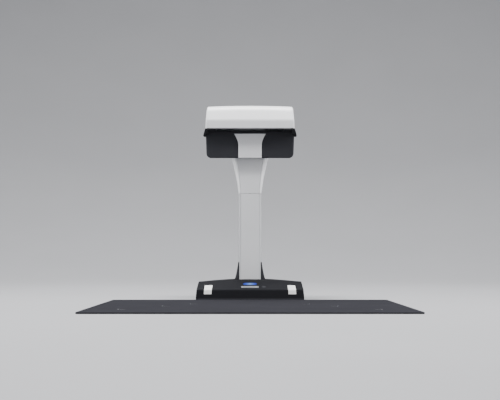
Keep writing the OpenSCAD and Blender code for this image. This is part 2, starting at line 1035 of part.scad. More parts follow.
module carriage_frame() {
    color("#2a2a2d")
        scanner()
            on_axis()
                difference() {
                    union() {
                        box(-70, 70, -11, 11, 2, 4);
                        both_sides() {
                            box(68, 70, -6.5, 6.5, -7, 2);
                            box(20, 40, -11, -9, 4, 9);
                        }
                    }
                    post(0, 0, 0, 5, 18, 64);
                    both_sides() {
                        rod(67, 71, 0, 0, pin_d);
                        rod(65.8, 68, 0, 0, pin_d + 3.4);
                    }
                }
}

module pivot_pins() {
    color("#c9cacc")
        scanner()
            on_axis() {
                rod(66.5, sector_x + gear_t, 0, 0, pin_d);
                rod(66, 68, 0, 0, pin_d + 3);
                rod(-sector_x, -66.5, 0, 0, pin_d);
                rod(-68, -66, 0, 0, pin_d + 3);
            }
}

module camera_body() {
    color("#1f1f22")
        scanner()
            on_axis()
                difference() {
                    box(-17, 17, -9, 9, 4, 13.6);
                    box(-15, 15, -7, 7, 6, 14);
                    post(0, 0, 3, 7, 15);
                }
}

module lens_barrel() {
    color("#18181a")
        scanner()
            on_axis()
                difference() {
                    union() {
                        post(0, 0, -16, 4, 18, 64);
                        post(0, 0, -17, -15.5, 19, 64);
                        post(0, 0, -9, -7, 20, 64);
                    }
                    post(0, 0, -18, 5, 14, 64);
                }
}

module lens_glass() {
    color("#4d6c80")
        scanner()
            on_axis() {
                post(0, 0, -15, -12, 14, 64);
                post(0, 0, -4, -1, 14, 64);
            }
}

module sensor_board() {
    color("#2f6b45")
        scanner()
            on_axis() {
                box(-32, 32, -8.5, 8.5, 13.6, 15);
                box(-14, 14, -4, 4, 11, 13.6);
            }
}

module lamp(x) {
    color("#e8e4d2")
        scanner()
            on_axis()
                translate([x, 0, 0])
                    difference() {
                        union() {
                            box(-lamp_w / 2, lamp_w / 2, -8, 8, -10, 2);
                            rod(-lamp_w / 2, lamp_w / 2, 0, -10, 9);
                        }
                        rod(-lamp_w, lamp_w, 11, -14, 8);
                        rod(-lamp_w, lamp_w, -11, -14, 8);
                    }
}

module lamp_left() {
    lamp(-lamp_x);
}

module lamp_right() {
    lamp(lamp_x);
}

module drive_sector() {
    teeth = [for (k = [-3:12]) each tooth(sector_n, k, 0)];
    color("#dcd9cc")
        scanner()
            on_axis()
                difference() {
                    across(sector_x, sector_x + gear_t)
                        union() {
                            polygon(concat([[-2, 5], [-4, 0], [-2, -5]], teeth));
                            circle(d = 12, $fn = 48);
                        }
                    rod(sector_x - 1, sector_x + gear_t + 1, 0, 0, pin_d);
                    across(sector_x - 1, sector_x + gear_t + 1)
                        polygon(concat(arc([0, 0], 14.5, 0, 48, 6), arc([0, 0], 8.5, 48, 0, 6)));
                }
}

module idler_post() {
    color("#c9cacc")
        scanner() {
            rod(frame_x, large_x + gear_t + 0.9, idler_y, axis_z, post_d);
            rod(frame_x - 0.8, frame_x, idler_y, axis_z, post_d + 3);
            rod(large_x + gear_t + 0.1, large_x + gear_t + 0.9, idler_y, axis_z, post_d + 2.4);
        }
}

module idler_gear() {
    color("#e4e1d6")
        scanner()
            translate([0, idler_y, axis_z])
                difference() {
                    union() {
                        across(sector_x, large_x)
                            gear_profile(idler_small_n, idler_small_phase);
                        across(large_x, large_x + gear_t - 0.5)
                            gear_profile(idler_large_n, idler_large_phase);
                    }
                    rod(sector_x - 1, large_x + gear_t + 1, 0, 0, post_d + 0.1);
                    for (a = [0:60:300])
                        rod(large_x - 0.01, large_x + gear_t + 1, 8 * cos(a), 8 * sin(a), 4, 24);
                }
}

module stepper_motor() {
    color("#b6b8bb")
        scanner()
            translate([0, motor_y, motor_z])
                difference() {
                    union() {
                        rod(frame_x - motor_l, frame_x - 1, 0, 0, motor_d, 64);
                        rod(frame_x - 1, frame_x, 0, 0, 20, 64);
                        rod(frame_x, frame_x + plate_t, 0, 0, 7);
                        for (a = flange_angles)
                            rod(frame_x - 1, frame_x, flange_r * cos(a), flange_r * sin(a), 7, 32);
                        rotate([flange_angles[0], 0, 0])
                            box(frame_x - 1, frame_x, -flange_r, flange_r, -3, 3);
                        box(frame_x - motor_l, frame_x - 4, -6, 6, -13.8, -10);
                    }
                    rod(frame_x - motor_l + 3, frame_x + plate_t + 1, 0, 0, shaft_d + 0.1, 24);
                    for (a = flange_angles)
                        rod(frame_x - 2, frame_x + 1, flange_r * cos(a), flange_r * sin(a), shaft_d, 24);
                }
}

module motor_pinion() {
    color("#c8a75a")
        scanner()
            translate([0, motor_y, motor_z]) {
                rod(frame_x - motor_l + 4, large_x + gear_t - 0.5, 0, 0, shaft_d, 24);
                difference() {
                    across(large_x, large_x + gear_t - 0.5)
                        gear_profile(pinion_n, pinion_phase);
                    rod(large_x - 1, large_x + gear_t, 0, 0, shaft_d, 24);
                }
                difference() {
                    rod(large_x - 3, large_x, 0, 0, 5, 32);
                    rod(large_x - 4, large_x + 1, 0, 0, shaft_d, 24);
                }
            }
}

module motor_screws() {
    color("#77797c")
        scanner()
            translate([0, motor_y, motor_z])
                for (a = flange_angles)
                    translate([frame_x, flange_r * cos(a), flange_r * sin(a)]) {
                        rod(-1, plate_t, 0, 0, shaft_d, 24);
                        rod(plate_t, plate_t + 1.2, 0, 0, 3.8, 24);
                    }
}

// Slotted sensor over the sector's tail at the carriage's home position
module home_sensor() {
    color("#202022")
        scanner()
            difference() {
                box(frame_x + plate_t, large_x + 2, axis_y - 24, axis_y - 13, axis_z + 4, axis_z + 12);
                box(sector_x - 0.6, sector_x + gear_t + 0.6,
                    axis_y - 22, axis_y - 12, axis_z + 3, axis_z + 13);
            }
}

// ---------- Mat ----------

module mat_layer(z0, z1) {
    translate([0, scanner_y - mat_d, z0])
        linear_extrude(z1 - z0)
            rounded_plan(mat_w, 0, mat_d - mat_gap, 6);
}

module mat_sheet() {
    color("#46464c")
        mat_layer(backing_t, backing_t + sheet_t);
}

module mat_backing() {
    color("#2b2b2e")
        mat_layer(0, backing_t);
}

base_cover();
base_tray();
ballast_plate();
rubber_feet();
base_screws();
white_reference_left();
white_reference_right();
status_light();
scan_key();
stop_key();
key_board();
main_board();
board_standoffs();
usb_socket();
power_inlet();
column_boot();
column_spine();
column_front_cover();
column_rear_cover();
spine_screws();
wire_harness();
neck_shell();
neck_front_panel();
head_top_cover();
head_housing();
chin_panel();
window_bezel();
lens_window();
lamp_window_left();
lamp_window_right();
head_frame();
head_board();
head_screws();
pivot_bushings();
carriage_frame();
pivot_pins();
camera_body();
lens_barrel();
lens_glass();
sensor_board();
lamp_left();
lamp_right();
drive_sector();
idler_post();
idler_gear();
stepper_motor();
motor_pinion();
motor_screws();
home_sensor();
mat_sheet();
mat_backing();
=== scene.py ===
"""The looks of an overhead book scanner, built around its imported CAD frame. Metres, +Z up, the scanner faces -Y."""
import json
import math

import bmesh
import bpy
from mathutils import Matrix, Vector


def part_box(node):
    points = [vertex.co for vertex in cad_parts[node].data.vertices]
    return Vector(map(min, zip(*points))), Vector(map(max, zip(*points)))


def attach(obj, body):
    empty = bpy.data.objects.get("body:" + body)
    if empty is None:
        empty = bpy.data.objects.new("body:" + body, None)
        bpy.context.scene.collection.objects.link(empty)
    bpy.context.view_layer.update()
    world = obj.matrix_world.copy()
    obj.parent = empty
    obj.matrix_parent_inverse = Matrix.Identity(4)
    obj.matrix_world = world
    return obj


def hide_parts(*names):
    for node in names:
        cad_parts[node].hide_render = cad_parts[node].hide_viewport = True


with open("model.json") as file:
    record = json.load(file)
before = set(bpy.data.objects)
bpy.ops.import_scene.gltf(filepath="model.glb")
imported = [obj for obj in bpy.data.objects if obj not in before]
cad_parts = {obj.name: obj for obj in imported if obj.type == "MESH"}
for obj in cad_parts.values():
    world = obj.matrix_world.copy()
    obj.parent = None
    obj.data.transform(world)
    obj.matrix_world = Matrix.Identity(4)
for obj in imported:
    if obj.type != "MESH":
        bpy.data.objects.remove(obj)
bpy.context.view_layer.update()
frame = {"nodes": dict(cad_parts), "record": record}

NODES = frame["nodes"]
MM = 0.001
HOME = "scanner_body"


# ---------- Places, worked out from the frame ----------

def low(node):
    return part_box(node)[0]


def high(node):
    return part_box(node)[1]


FRONT = low("base_cover").y
BASE_HALF = high("base_cover").x
BASE_DEPTH = high("base_cover").y - FRONT
BASE_TOP = high("base_cover").z
RIM = low("base_cover").z
PANEL_EDGE = low("white_reference_left").z + 9 * MM
SLOPE = math.atan2(high("white_reference_left").z - PANEL_EDGE, high("white_reference_left").y - FRONT)
COLUMN_Y = low("column_front_cover").y - FRONT
COLUMN_A = high("column_front_cover").x + 0.15 * MM
COLUMN_B = high("column_rear_cover").x
COLUMN_BACK = high("column_rear_cover").y - FRONT
SEAM = low("neck_shell").z
HEAD_LOW = low("head_housing").z
LIP = low("head_top_cover").z
HEAD_TOP = high("head_top_cover").z
HEAD_HALF = high("head_top_cover").x
HEAD_BACK = high("head_top_cover").y - FRONT
HOUSING_Y = low("head_housing").y - FRONT
WALL = 2.2 * MM
RISE = math.radians(7)
NECK_TOP = HEAD_LOW + 5 * MM
NECK_END = high("neck_shell").z


# ---------- Mesh helpers ----------

def finish_mesh(name, points, faces, sharp=32):
    """An object from points and faces, with outward normals and edges sharp above an angle."""
    mesh = bpy.data.meshes.new(name)
    mesh.from_pydata([tuple(p) for p in points], [], faces)
    cleaned(mesh)
    thing = bpy.data.objects.new(name, mesh)
    bpy.context.scene.collection.objects.link(thing)
    shade(thing, sharp)
    return thing


def cleaned(mesh):
    """Merges points that lie together, drops faces with no area, and turns the normals outwards."""
    made = bmesh.new()
    made.from_mesh(mesh)
    bmesh.ops.remove_doubles(made, verts=made.verts, dist=0.002 * MM)
    bmesh.ops.dissolve_degenerate(made, edges=made.edges, dist=0.002 * MM)
    bmesh.ops.recalc_face_normals(made, faces=made.faces)
    made.to_mesh(mesh)
    made.free()


def shade(thing, sharp=32):
    mesh = thing.data
    mesh.polygons.foreach_set("use_smooth", [True] * len(mesh.polygons))
    mesh.set_sharp_from_angle(angle=math.radians(sharp))
    mesh.update()


def rounded_ring(corners, inset=0.0, steps=7):
    """A closed outline from corners (u, v, radius), counter-clockwise, moved inwards by inset."""
    count = len(corners)
    lines = []
    for k in range(count):
        a, b = Vector(corners[k][:2]), Vector(corners[(k + 1) % count][:2])
        along = (b - a).normalized()
        inward = Vector((-along.y, along.x))
        lines.append((a + inward * inset, along, inward))
    ring = []
    for k in range(count):
        p, d, _ = lines[k - 1]
        q, e, _ = lines[k]
        cross = d.x * e.y - d.y * e.x
        t = ((q - p).x * e.y - (q - p).y * e.x) / cross
        corner = p + d * t
        turn = math.atan2(cross, d.dot(e))
        radius = corners[k][2] - inset if turn > 0 else corners[k][2] + inset
        radius = max(radius, 0.15 * MM)
        reach = radius * math.tan(abs(turn) / 2)
        side = 1 if turn > 0 else -1
        centre = corner - d * reach + Vector((-d.y, d.x)) * radius * side
        start = math.atan2(-d.x * side, d.y * side)
        for s in range(steps + 1):
            angle = start + turn * s / steps
            ring.append(centre + radius * Vector((math.cos(angle), math.sin(angle))))
    return ring


def loft(name, rings, sharp=32, caps=True):
    """A closed solid through rings of points with the same count."""
    count = len(rings[0])
    faces = []
    for j in range(len(rings) - 1):
        for k in range(count):
            n = (k + 1) % count
            faces.append((j * count + k, j * count + n, (j + 1) * count + n, (j + 1) * count + k))
    if caps:
        faces.append(tuple(range(count)))
        faces.append(tuple((len(rings) - 1) * count + k for k in range(count)))
    return finish_mesh(name, [p for ring in rings for p in ring], faces, sharp)


def stations(start, end, edge, inner=1, steps=6):
    """Positions along an extrusion with the inset of each, so that both ends are rounded by edge."""
    ends = [(edge * (1 - math.cos(a)), edge * (1 - math.sin(a)))
            for a in (math.pi / 2 * k / steps for k in range(steps + 1))]
    middle = [(start + edge + (end - start - 2 * edge) * k / inner, 0.0) for k in range(1, inner)]
    return [(start + w, i) for w, i in ends] + middle + [(end - w, i) for w, i in reversed(ends)]


def prism(name, corners, start, end, edge, place, inner=1, steps=7, bend=None, inset=0.0, sharp=32):
    """A rounded outline swept from start to end with rounded ends; place maps (w, u, v) to a point."""
    rings = []
    for w, i in stations(start + inset, end - inset, edge, inner):
        ring = [place(w, p.x, p.y) for p in rounded_ring(corners, inset + i, steps)]
        rings.append([bend(p) for p in ring] if bend else ring)
    return loft(name, rings, sharp)


def across(w, u, v):
    """An outline of depth and height, swept across the scanner."""
    return Vector((w, FRONT + u, v))


def rearward(w, u, v):
    """An outline of width and height, swept towards the back."""
    return Vector((u, w, v))


def upward(w, u, v):
    """A plan outline, swept upwards."""
    return Vector((u, FRONT + v, w))


def box(name, lowest, highest):
    x0, y0, z0 = lowest
    x1, y1, z1 = highest
    ring = [(x0, y0), (x1, y0), (x1, y1), (x0, y1)]
    return loft(name, [[Vector((*p, z)) for p in ring] for z in (z0, z1)])


def applied(thing):
    """Applies the object's modifiers to its mesh."""
    graph = bpy.context.evaluated_depsgraph_get()
    mesh = bpy.data.meshes.new_from_object(thing.evaluated_get(graph))
    thing.modifiers.clear()
    thing.data = mesh
    return thing


def cut(thing, cutters, operation="DIFFERENCE", sharp=32):
    """Takes the cutters away from the object, or joins them, and deletes them."""
    for cutter in cutters:
        step = thing.modifiers.new("cut", "BOOLEAN")
        step.operation = operation
        step.solver = "EXACT"
        step.object = cutter
        applied(thing)
        bpy.data.objects.remove(cutter)
    shade(thing, sharp)
    return thing


def soften(thing, width, angle=40, segments=2):
    """Rounds the hard edges a little and evens the normals."""
    step = thing.modifiers.new("edges", "BEVEL")
    step.width = width
    step.segments = segments
    step.limit_method = "ANGLE"
    step.angle_limit = math.radians(angle)
    step.use_clamp_overlap = True
    step.harden_normals = False
    even = thing.modifiers.new("normals", "WEIGHTED_NORMAL")
    even.keep_sharp = True
    return thing


def joined(name, things):
    """Joins several objects into one mesh."""
    made = bmesh.new()
    for thing in things:
        made.from_mesh(thing.data)
        bpy.data.objects.remove(thing)
    mesh = bpy.data.meshes.new(name)
    made.to_mesh(mesh)
    made.free()
    whole = bpy.data.objects.new(name, mesh)
    bpy.context.scene.collection.objects.link(whole)
    shade(whole)
    return whole


def moved(thing, matrix):
    thing.data.transform(matrix)
    return thing


def lathe(name, profile, segments=48):
    """A solid turned round Z from (radius, height) points that start and end on the axis."""
    rings = []
    for r, z in profile[1:-1]:
        rings.append([Vector((r * math.cos(a), r * math.sin(a), z))
                      for a in (2 * math.pi * k / segments for k in range(segments))])
    return loft(name, rings)


def stands_for(thing, body, *nodes):
    """The object rides on a body and takes the place of CAD nodes."""
    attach(thing, body)
    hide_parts(*nodes)
    return thing


# ---------- Materials ----------

class Look:
    """A node material under construction, with its principled shader and object-space position."""

    def __init__(self, name, roughness=0.5, metallic=0.0, **sockets):
        self.material = bpy.data.materials.new(name)
        self.material.use_nodes = True
        self.tree = self.material.node_tree
        self.shader = self.tree.nodes["Principled BSDF"]
        self.shader.inputs["Roughness"].default_value = roughness
        self.shader.inputs["Metallic"].default_value = metallic
        for socket, value in sockets.items():
            self.shader.inputs[socket.replace("_", " ")].default_value = value
        self.place = self.tree.nodes.new("ShaderNodeTexCoord").outputs["Object"]

    def node(self, kind, links=(), **settings):
        """A node of this kind, with its inputs from links and its settings."""
        made = self.tree.nodes.new("ShaderNode" + kind)
        for key, value in settings.items():
            if key in made.inputs:
                made.inputs[key].default_value = value
            else:
                setattr(made, key, value)
        for socket, source in dict(links).items():
            self.link(source, made.inputs[socket])
        return made

    def link(self, source, target):
        self.tree.links.new(source, target)

    def scaled(self, x, y, z):
        return self.node("Mapping", {"Vector": self.place}, Scale=(x, y, z)).outputs["Vector"]

    def noise(self, scale, detail=3.0, vector=None, roughness=0.5):
        made = self.node("TexNoise", {"Vector": vector or self.place},
                         Scale=scale, Detail=detail, Roughness=roughness)
        return made.outputs["Fac"]

    def ramp(self, source, stops):
        """A colour ramp from (position, colour) stops."""
        made = self.node("ValToRGB", {"Fac": source})
        ramp = made.color_ramp
        while len(ramp.elements) < len(stops):
            ramp.elements.new(0.5)
        for element, (position, colour) in zip(ramp.elements, stops):
            element.position = position
            element.color = (*colour, 1.0)
        return made.outputs["Color"]

    def mix(self, factor, a, b, blend="MIX"):
        """Mixes two colours, each a socket or a colour."""
        made = self.node("Mix", data_type="RGBA", blend_type=blend)
        for value, index in ((factor, 0), (a, 6), (b, 7)):
            if isinstance(value, bpy.types.NodeSocket):
                self.link(value, made.inputs[index])
            else:
                made.inputs[index].default_value = value if index == 0 else (*value, 1.0)
        return made.outputs[2]

    def math(self, operation, a, b=0.0):
        made = self.node("Math", operation=operation)
        for value, index in ((a, 0), (b, 1)):
            if isinstance(value, bpy.types.NodeSocket):
                self.link(value, made.inputs[index])
            else:
                made.inputs[index].default_value = value
        return made.outputs["Value"]

    def spread(self, source, lowest, highest):
        made = self.node("MapRange", {"Value": source})
        made.inputs["To Min"].default_value = lowest
        made.inputs["To Max"].default_value = highest
        return made.outputs["Result"]

    def colour(self, source):
        self.link(source, self.shader.inputs["Base Color"])

    def roughness(self, source, lowest, highest):
        self.link(self.spread(source, lowest, highest), self.shader.inputs["Roughness"])

    def bump(self, heights, distance, strength=1.0):
        """Bumps the surface by one height after another, each with its own distance in metres."""
        previous = None
        for height, reach in zip(heights, distance):
            made = self.node("Bump", {"Height": height}, Strength=strength, Distance=reach)
            if previous:
                self.link(previous, made.inputs["Normal"])
            previous = made.outputs["Normal"]
        self.link(previous, self.shader.inputs["Normal"])


def shades(colour, spread):
    """A darker and a lighter version of a colour."""
    return (tuple(c * (1 - spread) for c in colour), tuple(min(1, c * (1 + spread)) for c in colour))


def moulded(name, colour, roughness=0.45, grain=0.0006, depth=0.02, spread=0.05, coat=0.0, specular=0.5):
    """Moulded plastic: a fine spark-eroded grain, slow drifts of shade, and soft smudges in the gloss."""
    look = Look(name, Coat_Weight=coat, Coat_Roughness=0.3, Specular_IOR_Level=specular)
    dark, light = shades(colour, spread)
    drift = look.noise(9, 4)
    speck = look.noise(1.6 / grain, 2)
    tone = look.ramp(drift, [(0.3, dark), (0.7, light)])
    look.colour(look.mix(look.spread(speck, 0.0, 0.12), tone, dark))
    look.roughness(look.noise(22, 5), roughness - 0.05, roughness + 0.07)
    cells = look.node("TexVoronoi", {"Vector": look.place}, Scale=1 / grain).outputs["Distance"]
    look.bump([look.noise(60, 2), cells], [0.01 * MM, depth * MM], 0.5)
    return look.material


def sprayed(name, colour, roughness=0.38):
    """Silver paint on plastic: metallic flakes under a satin coat."""
    look = Look(name, Metallic=0.25, Coat_Weight=0.2, Coat_Roughness=0.25)
    dark, light = shades(colour, 0.06)
    flakes = look.node("TexVoronoi", {"Vector": look.place}, Scale=3500.0).outputs["Color"]
    drift = look.ramp(look.noise(7, 3), [(0.3, dark), (0.7, light)])
    grey = look.node("RGBToBW", {"Color": flakes}).outputs["Val"]
    look.colour(look.mix(look.spread(grey, 0.0, 0.18), drift, tuple(min(1, c * 1.25) for c in colour)))
    look.roughness(grey, roughness - 0.07, roughness + 0.08)
    look.bump([look.noise(1800, 2)], [0.006 * MM], 0.5)
    return look.material


def plated(name, colour, roughness=0.3, stretch=(4, 900, 900)):
    """Rolled or turned metal with fine lines along one direction."""
    look = Look(name, metallic=1.0)
    dark, light = shades(colour, 0.12)
    lines = look.noise(1.0, 4, look.scaled(*stretch))
    look.colour(look.ramp(lines, [(0.3, dark), (0.7, light)]))
    look.roughness(look.noise(40, 4), roughness - 0.08, roughness + 0.12)
    look.bump([lines], [0.01 * MM], 0.5)
    return look.material


def rubbery(name, colour, grain=0.0008, depth=0.05, roughness=0.8):
    """Rubber or foam rubber: matt, with a pitted skin and a dusty bloom."""
    look = Look(name, roughness=roughness)
    dark, light = shades(colour, 0.18)
    pits = look.node("TexVoronoi", {"Vector": look.place}, Scale=1 / grain).outputs["Distance"]
    look.colour(look.mix(look.spread(look.noise(30, 5), 0.0, 0.35), dark, light))
    look.roughness(look.noise(18, 3), roughness - 0.08, roughness + 0.1)
    look.bump([pits, look.noise(900, 3)], [depth * MM, 0.02 * MM], 0.7)
    return look.material


def clear(name, colour, roughness=0.03, transmission=0.9, alpha=1.0, ior=1.5):
    """Tinted window or lens glass with faint wipe marks."""
    look = Look(name, Transmission_Weight=transmission, IOR=ior, Specular_IOR_Level=0.3, Alpha=alpha)
    dark, light = shades(colour, 0.08)
    look.colour(look.ramp(look.noise(25, 3), [(0.35, dark), (0.65, light)]))
    look.roughness(look.noise(1.0, 4, look.scaled(60, 240, 60)), roughness, roughness + 0.05)
    return look.material


def circuit(name):
    """Green solder mask over copper tracks, with pale pads and a woven ground."""
    look = Look(name, Coat_Weight=0.4, Coat_Roughness=0.2)
    tracks = look.node("TexBrick", {"Vector": look.place}, Scale=90.0)
    tracks.inputs["Mortar Size"].default_value = 0.035
    tracks.inputs["Color1"].default_value = (0.012, 0.10, 0.04, 1)
    tracks.inputs["Color2"].default_value = (0.010, 0.085, 0.035, 1)
    tracks.inputs["Mortar"].default_value = (0.03, 0.22, 0.09, 1)
    pads = look.node("TexVoronoi", {"Vector": look.place}, Scale=260.0).outputs["Distance"]
    dots = look.math("LESS_THAN", pads, 0.14)
    look.colour(look.mix(dots, tracks.outputs["Color"], (0.55, 0.50, 0.36)))
    look.roughness(look.noise(300, 3), 0.3, 0.45)
    look.bump([tracks.outputs["Fac"], look.noise(2500, 2)], [0.03 * MM, 0.01 * MM], 0.6)
    return look.material


def lit(name, colour, strength):
    """A clear plastic light guide, brighter in its middle than at its frosted ends."""
    look = Look(name, roughness=0.45, Specular_IOR_Level=0.12)
    middle = (low("status_light") + high("status_light")) / 2
    half = (high("status_light").x - low("status_light").x) / 2
    split = look.node("SeparateXYZ", {"Vector": look.place})
    from_middle = look.math("SUBTRACT", split.outputs["X"], middle.x)
    across_bar = look.math("ABSOLUTE", look.math("MULTIPLY", from_middle, 1 / half))
    dimmed = tuple(c * 0.45 for c in colour)
    glow = look.ramp(across_bar, [(0.0, (0.08, 0.17, 0.40)), (0.6, colour), (1.0, dimmed)])
    look.colour(look.mix(look.spread(look.noise(700, 2), 0.0, 0.2), glow, colour))
    look.link(glow, look.shader.inputs["Emission Color"])
    look.shader.inputs["Emission Strength"].default_value = strength
    look.bump([look.noise(1200, 2)], [0.01 * MM], 0.4)
    return look.material


def mat_vinyl(name, colour):
    """The mat's vinyl: a leather-like grain, with fine pale corner marks for the page sizes."""
    look = Look(name, Specular_IOR_Level=0.03)
    dark, light = shades(colour, 0.08)
    cells = look.node("TexVoronoi", {"Vector": look.place}, Scale=900.0, feature="DISTANCE_TO_EDGE")
    grain = look.math("SMOOTH_MIN", cells.outputs["Distance"], 0.25)
    drift = look.ramp(look.noise(5, 5), [(0.3, dark), (0.7, light)])
    ground = look.mix(look.spread(look.noise(1500, 2), 0.0, 0.25), drift, dark)
    split = look.node("SeparateXYZ", {"Vector": look.place})
    beside = look.math("ABSOLUTE", split.outputs["X"])
    ahead = look.math("SUBTRACT", FRONT, split.outputs["Y"])
    marks = None
    for half, depth in ((0.210, 0.297), (0.1485, 0.210), (0.105, 0.148)):
        corner = corner_mark(look, beside, ahead, half, depth)
        marks = corner if marks is None else look.math("MAXIMUM", marks, corner)
    look.colour(look.mix(look.math("MULTIPLY", marks, 0.55), ground, (0.42, 0.42, 0.44)))
    look.roughness(look.noise(14, 4), 0.75, 0.88)
    look.bump([look.noise(25, 2), grain], [0.05 * MM, 0.06 * MM], 0.6)
    return look.material


def corner_mark(look, beside, ahead, half, depth, arm=0.012, line=0.0004):
    """One where a point lies on an L-shaped mark at a page's corner."""
    def near(value, target, reach):
        return look.math("LESS_THAN", look.math("ABSOLUTE", look.math("SUBTRACT", value, target)), reach)
    side = look.math("MULTIPLY", near(beside, half, line), near(ahead, depth - arm / 2, arm / 2))
    end = look.math("MULTIPLY", near(ahead, depth, line), near(beside, half - arm / 2, arm / 2))
    return look.math("MAXIMUM", side, end)


def all_materials():
    """Every material by the record's slot name."""
    return {
        "white_shell": moulded("white_shell", (0.84, 0.845, 0.855), 0.34, 0.0005, 0.008, 0.02, 0.15),
        "grey_panel": sprayed("grey_panel", (0.66, 0.665, 0.68), 0.45),
        # grey_cover is silver paint like the panel's; its darker value is painted shade for the column's sides, which
        # face away from the lamps
        "grey_cover": sprayed("grey_cover", (0.50, 0.505, 0.52), 0.45),
        "dark_shell": moulded("dark_shell", (0.028, 0.0285, 0.033), 0.7, 0.0007, 0.03, 0.10, specular=0.08),
        "dark_base": moulded("dark_base", (0.013, 0.0132, 0.0155), 0.7, 0.0007, 0.03, 0.10, specular=0.045),
        "black_plastic": moulded("black_plastic", (0.018, 0.018, 0.021), 0.75, 0.0007, 0.025, 0.12,
                                 specular=0.06),
        "key_grey": sprayed("key_grey", (0.19, 0.194, 0.206), 0.42),
        "reference_white": moulded("reference_white", (0.86, 0.86, 0.84), 0.65, 0.0004, 0.01, 0.02),
        "status_blue": lit("status_blue", (0.005, 0.028, 0.30), 0.20),
        "steel": plated("steel", (0.50, 0.51, 0.53), 0.34),
        "ballast": plated("ballast", (0.34, 0.35, 0.36), 0.5, (30, 30, 30)),
        "screw_steel": plated("screw_steel", (0.20, 0.20, 0.21), 0.38, (600, 600, 60)),
        "rubber": rubbery("rubber", (0.012, 0.012, 0.013)),
        "circuit_board": circuit("circuit_board"),
        "brass": plated("brass", (0.60, 0.43, 0.18), 0.28, (900, 60, 60)),
        "window_glass": clear("window_glass", (0.05, 0.055, 0.06), 0.3, 0.7, ior=1.06),
        "lens_glass": clear("lens_glass", (0.25, 0.36, 0.52), 0.01, 0.8),
        "lamp_cover": moulded("lamp_cover", (0.78, 0.75, 0.62), 0.3, 0.0005, 0.01, 0.04, 0.3),
        "gear_plastic": moulded("gear_plastic", (0.70, 0.68, 0.60), 0.4, 0.0004, 0.01, 0.04),
        "harness": rubbery("harness", (0.015, 0.015, 0.017), 0.0012, 0.12, 0.6),
        "mat_sheet": mat_vinyl("mat_sheet", (0.021, 0.021, 0.0255)),
        "mat_backing": rubbery("mat_backing", (0.022, 0.022, 0.024), 0.0016, 0.2, 0.9),
    }


MATERIALS = all_materials()


def paint(thing, slot):
    thing.data.materials.clear()
    thing.data.materials.append(MATERIALS[slot])
    return thing


def dress_frame():
    """Gives every CAD node its slot's material and smooth shading."""
    for part in frame["record"]["subparts"]:
        thing = NODES[part["node"]]
        paint(thing, part["material_slot"])
        shade(thing, 30)


# ---------- Base ----------

def base_corners(bottom):
    crest = (BASE_TOP - PANEL_EDGE) / math.tan(SLOPE)
    return [(0, bottom, 0.5 * MM), (BASE_DEPTH, bottom, 0.5 * MM), (BASE_DEPTH, BASE_TOP, 8 * MM),
            (crest, BASE_TOP, 60 * MM), (0, PANEL_EDGE, 3 * MM)]


def base_crown(p):
    """Lowers the base's top towards its sides, most at the rear, and leans the sides in towards the top."""
    share = min(1, max(0, (p.z - (BASE_TOP - 12 * MM)) / (9 * MM)))
    crest = (BASE_TOP - PANEL_EDGE) / math.tan(SLOPE)
    behind = max(0, (p.y - FRONT - crest) / (BASE_DEPTH - crest))
    crown = (3.0 + 3.4 * behind) * MM
    z = p.z - crown * (p.x / BASE_HALF) ** 2 * share
    lean = 0.028 * (z - RIM) / (BASE_TOP - RIM)
    return Vector((p.x * (1 - lean), p.y, z))


def base_body(name, inset):
    """The base as a solid, or the room inside it when inset is given."""
    edge = 0.8 * MM if inset else 1.2 * MM
    return prism(name, base_corners(RIM - 12 * MM), -BASE_HALF, BASE_HALF, edge, across,
                 inner=24, steps=10, bend=base_crown, inset=inset)


def slope_matrix():
    """The sloping panel's own frame: y up the slope and z out of it."""
    return Matrix.Translation((0, FRONT, PANEL_EDGE)) @ Matrix.Rotation(SLOPE, 4, "X")


def slope_box(node):
    """A node's lowest and highest corners in the sloping panel's own frame."""
    back = slope_matrix().inverted()
    points = [back @ v.co for v in NODES[node].data.vertices]
    return (Vector([min(p[k] for p in points) for k in range(3)]),
            Vector([max(p[k] for p in points) for k in range(3)]))


def key_block(name, node, corner, edge, z0, z1, shrink=0.0, dish=0.0):
    """A rounded key on the sloping panel, as wide as its node's cap."""
    lo, hi = slope_box(node)
    lip = 1.2 * MM if node == "scan_key" else (1.0 * MM if node == "status_light" else 0.0)
    x0, x1, y0, y1 = lo.x + lip - shrink, hi.x - lip + shrink, lo.y + lip - shrink, hi.y - lip + shrink
    corners = [(x0, y0, corner), (x1, y0, corner), (x1, y1, corner), (x0, y1, corner)]

    def dished(p):
        share = 1 - min(1, ((p.y - (y0 + y1) / 2) / ((y1 - y0) / 2)) ** 2)
        return p - Vector((0, 0, dish * share if p.z > (z0 + z1) / 2 else 0))

    rings = []
    levels = [(z0, 0.0), (z1 - edge, 0.0)] + [
        (z1 - edge * (1 - math.sin(a)), edge * (1 - math.cos(a)))
        for a in (math.pi / 2 * k / 5 for k in range(1, 6))]
    inner = [0.25, 0.5, 0.75, 0.97]
    reach = min(x1 - x0, y1 - y0) / 2 - edge
    levels += [(z1, edge + reach * share) for share in inner]
    for z, inset in levels:
        ring = rounded_ring(corners, inset, 6)
        rings.append([dished(Vector((p.x, p.y, z))) for p in ring])
    thing = loft(name, rings)
    return moved(thing, slope_matrix())


